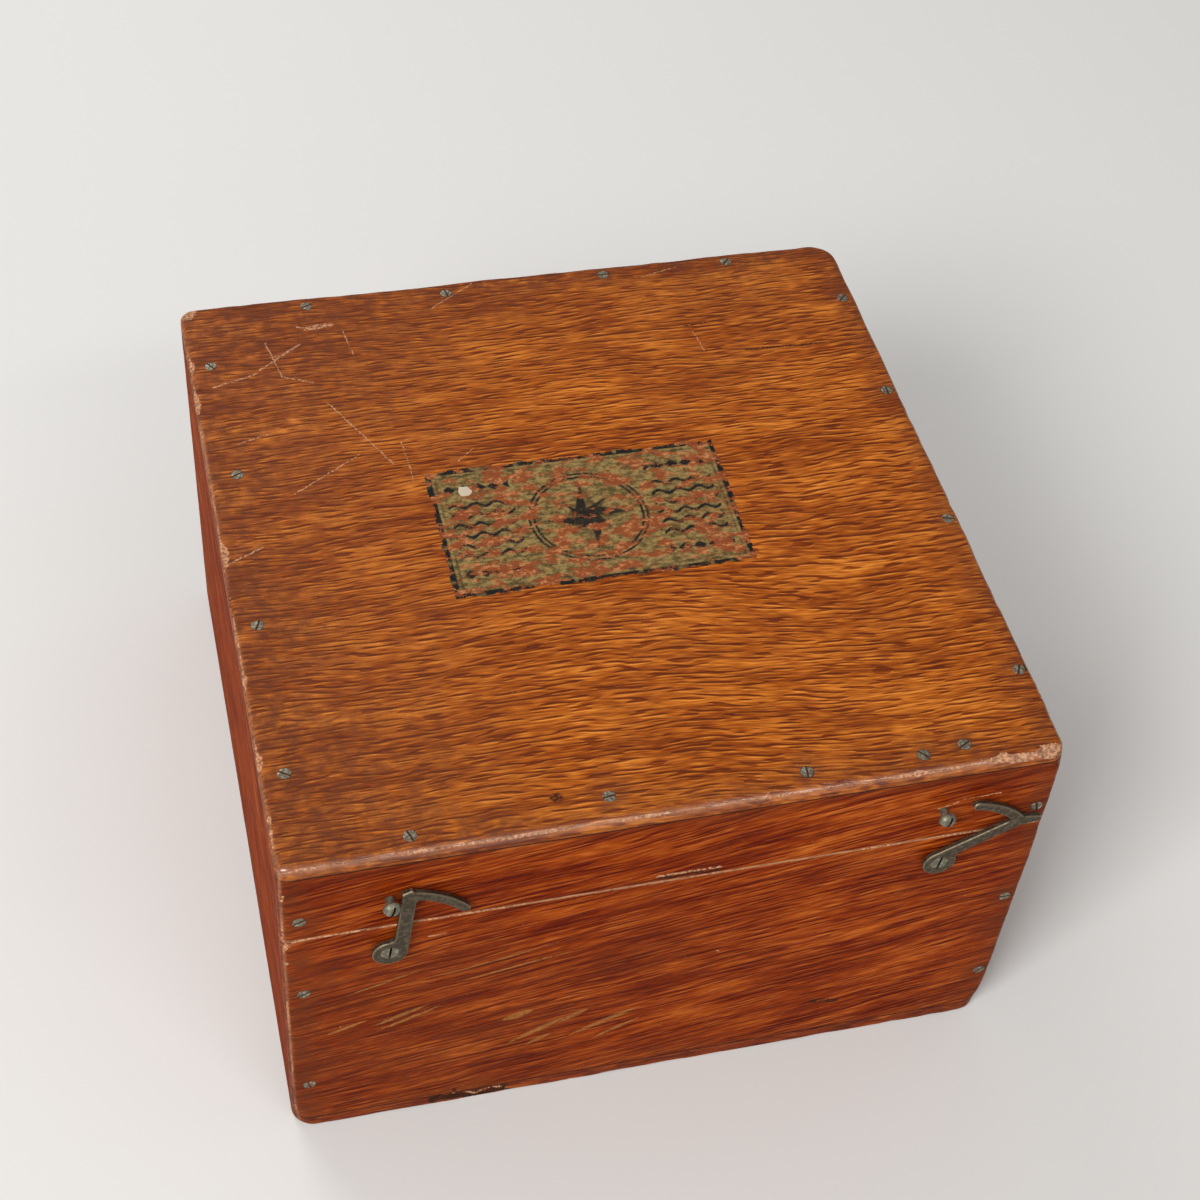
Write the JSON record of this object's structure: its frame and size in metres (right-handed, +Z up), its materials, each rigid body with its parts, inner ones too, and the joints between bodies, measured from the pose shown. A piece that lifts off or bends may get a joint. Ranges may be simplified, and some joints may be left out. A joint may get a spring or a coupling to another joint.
{
  "type": "azimuth mirror case",
  "caption": "Square oak case for a compass azimuth mirror, with a shallow hinged lid, brass butt hinges and swinging brass hooks.",
  "frame": {"origin": "centre of the underside, in the middle of the wooden case's plan", "axes": "+Z up, -Y towards the front with the hooks, +X to the right as seen from the front"},
  "size_m": [0.248, 0.2617, 0.1512],
  "materials": {
    "oak_top": "old varnish, golden brown",
    "oak_case": "old varnish, red-brown",
    "oak_chock": "bare, oiled",
    "baize": "green baize",
    "brass_hinge": "dull, aged",
    "brass_hook": "dark olive-brown patina",
    "brass_screw": "worn, grey-green patina"
  },
  "bodies": {
    "base": {"bottom_board": "oak_case", "base_front_board": "oak_case", "base_back_board": "oak_case", "base_left_board": "oak_case", "base_right_board": "oak_case", "chock_front_left": "oak_chock", "chock_front_right": "oak_chock", "chock_back_left": "oak_chock", "chock_back_right": "oak_chock", "baize_front_left": "baize", "baize_front_right": "baize", "baize_back_left": "baize", "baize_back_right": "baize", "hinge_base_leaf_left": "brass_hinge", "hinge_base_leaf_right": "brass_hinge", "hinge_pin_left": "brass_hinge", "hinge_pin_right": "brass_hinge", "hook_pivot_screw_left": "brass_screw", "hook_pivot_screw_right": "brass_screw"},
    "lid": {"lid_top_board": "oak_top", "lid_front_rail": "oak_case", "lid_back_rail": "oak_case", "lid_left_rail": "oak_case", "lid_right_rail": "oak_case", "hinge_lid_leaf_left": "brass_hinge", "hinge_lid_leaf_right": "brass_hinge", "stud_left": "brass_screw", "stud_right": "brass_screw"},
    "hook_left": {"hook_left": "brass_hook"},
    "hook_right": {"hook_right": "brass_hook"}
  },
  "joints": [
    {"name": "lid_hinge", "type": "hinge", "parent": "base", "child": "lid", "pos_m": [0, 0.1281, 0.115], "axis": [-1, 0, 0], "range_deg": [0, 180]},
    {"name": "hook_left_swing", "type": "hinge", "parent": "base", "child": "hook_left", "pos_m": [-0.0909, -0.1258, 0.1035], "axis": [0, -1, 0], "range_deg": [-338, 2.5]},
    {"name": "hook_right_swing", "type": "hinge", "parent": "base", "child": "hook_right", "pos_m": [0.0888, -0.1258, 0.1035], "axis": [0, -1, 0], "range_deg": [-290, 50]}
  ]
}
